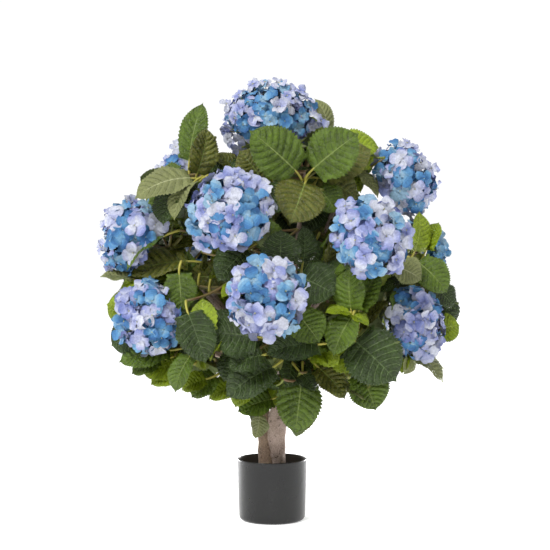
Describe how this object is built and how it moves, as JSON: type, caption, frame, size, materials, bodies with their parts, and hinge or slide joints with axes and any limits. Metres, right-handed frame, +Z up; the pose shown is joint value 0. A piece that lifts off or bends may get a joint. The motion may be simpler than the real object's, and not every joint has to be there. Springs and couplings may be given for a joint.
{
  "type": "artificial hydrangea shrub",
  "caption": "Artificial hydrangea shrub with blue and lilac mophead blooms, serrated green leaves and a twin-stemmed trunk in a round black pot.",
  "frame": {"origin": "centre of the pot's flat underside", "axes": "+Z up along the pot's axis, -Y towards the fullest side of the crown, +X to the right of that side"},
  "size_m": [0.7197, 0.676, 0.8862],
  "materials": {
    "pot_plastic": "satin",
    "pot_fill": "rough",
    "bark": "rough",
    "foliage": "satin",
    "bloom": "matte"
  },
  "bodies": {
    "root": {"pot": "pot_plastic", "pot_fill": "pot_fill", "trunk": "bark", "bough_back_left": "bark", "bough_back_low": "bark", "bough_back_low_left": "bark", "bough_back_mid": "bark", "bough_back_right": "bark", "bough_back_top": "bark", "bough_centre_left": "bark", "bough_centre_right": "bark", "bough_left": "bark", "bough_low_front": "bark", "bough_low_left": "bark", "bough_low_right": "bark", "bough_right": "bark", "bough_right_low": "bark", "bough_top": "bark", "bough_top_front": "bark", "bough_upper_left": "bark", "bough_upper_right": "bark", "leaves_back_left": "foliage", "leaves_back_low": "foliage", "leaves_back_low_left": "foliage", "leaves_back_low_right": "foliage", "leaves_back_mid": "foliage", "leaves_back_right": "foliage", "leaves_back_top": "foliage", "leaves_back_upper_right": "foliage", "leaves_centre_left": "foliage", "leaves_centre_right": "foliage", "leaves_left": "foliage", "leaves_low_front": "foliage", "leaves_low_front_left": "foliage", "leaves_low_left": "foliage", "leaves_low_right": "foliage", "leaves_mid_front": "foliage", "leaves_right": "foliage", "leaves_right_low": "foliage", "leaves_skirt": "foliage", "leaves_top": "foliage", "leaves_top_front": "foliage", "leaves_upper_left": "foliage", "leaves_upper_right": "foliage", "bloom_back_high": "bloom", "bloom_back_left": "bloom", "bloom_back_low": "bloom", "bloom_centre_left": "bloom", "bloom_centre_right": "bloom", "bloom_left": "bloom", "bloom_left_back_low": "bloom", "bloom_low_front": "bloom", "bloom_lower_left": "bloom", "bloom_lower_right": "bloom", "bloom_right_back": "bloom", "bloom_right_back_low": "bloom", "bloom_top": "bloom", "bloom_upper_left_back": "bloom", "bloom_upper_right": "bloom"}
  },
  "joints": []
}
